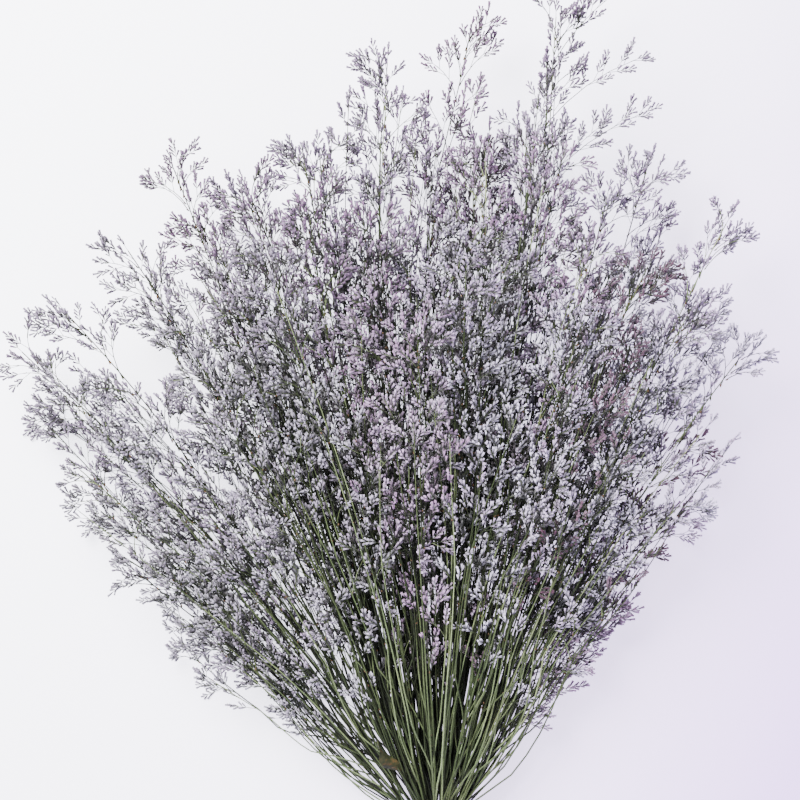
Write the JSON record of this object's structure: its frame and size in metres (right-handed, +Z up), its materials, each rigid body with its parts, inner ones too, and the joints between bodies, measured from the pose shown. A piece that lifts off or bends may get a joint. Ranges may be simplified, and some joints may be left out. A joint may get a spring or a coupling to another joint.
{
  "type": "dried sea lavender bunch",
  "caption": "Fan-shaped bunch of dried sea lavender: thin branching stems with small pale florets, tied with twine above the cut ends and laid flat.",
  "frame": {"origin": "bottom centre of the bunch's box, on the surface it lies on", "axes": "+Y up the bunch from the cut ends to the tips, +Z up from the surface, +X to the right as seen from above"},
  "size_m": [0.5676, 0.7324, 0.1892],
  "materials": {
    "silver_spray": "dry and matt, pale grey-lavender florets on sage green stems",
    "sage_spray": "dry and matt, grey-green florets on sage green stems",
    "mauve_spray": "dry and matt, pink-mauve florets on sage green stems",
    "plum_spray": "dry and matt, dark plum florets on sage green stems",
    "twine": "plain twisted jute, matt"
  },
  "bodies": {
    "root": {"spray_01": "silver_spray", "spray_02": "silver_spray", "spray_03": "sage_spray", "spray_04": "sage_spray", "spray_05": "silver_spray", "spray_06": "silver_spray", "spray_07": "sage_spray", "spray_08": "sage_spray", "spray_09": "mauve_spray", "spray_10": "silver_spray", "spray_11": "mauve_spray", "spray_12": "silver_spray", "spray_13": "silver_spray", "spray_14": "mauve_spray", "spray_15": "plum_spray", "spray_16": "silver_spray", "spray_17": "silver_spray", "spray_18": "silver_spray", "spray_19": "plum_spray", "spray_20": "silver_spray", "spray_21": "silver_spray", "spray_22": "silver_spray", "spray_23": "plum_spray", "spray_24": "mauve_spray", "spray_25": "mauve_spray", "spray_26": "silver_spray", "spray_27": "mauve_spray", "spray_28": "sage_spray", "spray_29": "sage_spray", "spray_30": "mauve_spray", "spray_31": "mauve_spray", "spray_32": "mauve_spray", "spray_33": "silver_spray", "spray_34": "mauve_spray", "spray_35": "sage_spray", "spray_36": "mauve_spray", "spray_37": "silver_spray", "spray_38": "sage_spray", "spray_39": "sage_spray", "spray_40": "sage_spray", "spray_41": "silver_spray", "spray_42": "silver_spray", "spray_43": "sage_spray", "spray_44": "silver_spray", "spray_45": "mauve_spray", "spray_46": "mauve_spray", "spray_47": "silver_spray", "spray_48": "sage_spray", "spray_49": "mauve_spray", "tie": "twine"}
  },
  "joints": []
}
